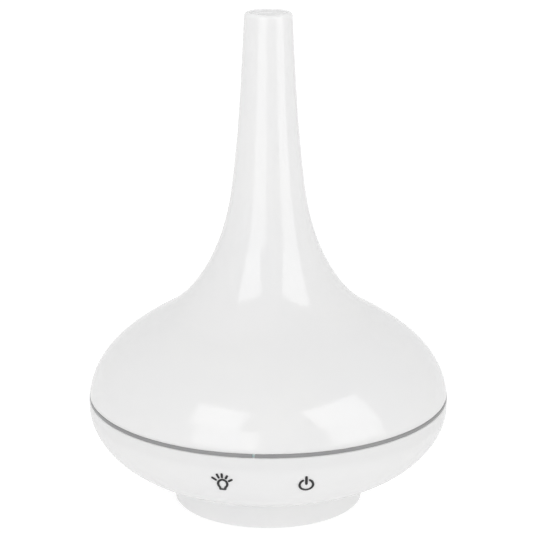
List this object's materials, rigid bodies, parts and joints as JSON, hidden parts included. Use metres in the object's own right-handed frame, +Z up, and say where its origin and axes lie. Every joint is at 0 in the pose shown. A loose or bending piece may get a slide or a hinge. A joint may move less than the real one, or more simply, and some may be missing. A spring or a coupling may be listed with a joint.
{
  "type": "cool mist humidifier",
  "caption": "Flask-shaped ultrasonic cool mist humidifier with a lift-off long-necked cover, water tank, fan and touch icons.",
  "frame": {"origin": "on the table, under the middle of the foot", "axes": "+Z up along the axis of the flask, -Y towards the front where the touch icons are, +Y towards the power inlet"},
  "size_m": [0.1674, 0.1674, 0.23],
  "materials": {
    "white_shell": "glossy milky white",
    "grey_ring": "satin mid grey",
    "milky_tank": "translucent milky",
    "black_plastic": "moulded black",
    "rubber": "matte",
    "steel": "zinc plated",
    "aluminium": "satin",
    "brass": "satin",
    "copper": "enamelled winding",
    "ferrite": "sintered grey",
    "circuit_board": "solder mask over glass laminate",
    "chip_black": "moulded epoxy",
    "capacitor_sleeve": "shrunk sleeve",
    "nylon": "natural nylon",
    "led_white": "white package with a clear lens",
    "icon_ink": "dark grey printing ink",
    "red_wire": "soft insulation",
    "white_wire": "soft insulation",
    "blue_wire": "soft insulation",
    "yellow_wire": "soft insulation"
  },
  "bodies": {
    "base": {"trim_ring": "grey_ring", "lower_housing": "white_shell", "foot_cover": "white_shell", "foot_pads": "rubber", "case_screws": "steel", "water_tank": "milky_tank", "transducer_disc": "brass", "transducer_seal": "rubber", "transducer_plate": "aluminium", "transducer_screws": "steel", "led_board": "circuit_board", "leds": "led_white", "led_screws": "steel", "air_duct": "nylon", "duct_seal": "rubber", "fan_frame": "black_plastic", "fan_bush": "brass", "fan_stator": "steel", "fan_coils": "copper", "fan_screws": "steel", "main_board": "circuit_board", "board_screws": "steel", "board_sockets": "nylon", "heat_sink": "aluminium", "power_transistor": "chip_black", "inductors": "ferrite", "capacitors": "capacitor_sleeve", "controller_chip": "chip_black", "dc_jack": "black_plastic", "dc_jack_pin": "steel", "touch_board": "circuit_board", "touch_springs": "steel", "touch_screws": "steel", "lamp_icon": "icon_ink", "power_icon": "icon_ink", "fan_wires": "red_wire", "transducer_wires": "white_wire", "led_wires": "blue_wire", "touch_wires": "yellow_wire"},
    "cover": {"top_cover": "white_shell"},
    "mist_guide": {"inner_lid": "milky_tank"},
    "rotor": {"fan_rotor": "black_plastic", "fan_magnet": "ferrite", "fan_shaft": "steel"}
  },
  "joints": [
    {"name": "cover_lift", "type": "slide", "parent": "base", "child": "cover", "axis": [0, 0, 1], "range_m": [0, 0.11]},
    {"name": "lid_lift", "type": "slide", "parent": "base", "child": "mist_guide", "axis": [0, 0, 1], "range_m": [0, 0.044]},
    {"name": "fan_spin", "type": "hinge", "parent": "base", "child": "rotor", "pos_m": [0, -0.023, 0.01], "axis": [0, 0, 1], "continuous": true}
  ],
  "couplings": [
    {"joint": "lid_lift", "follows": "cover_lift", "ratio": 0.4}
  ]
}
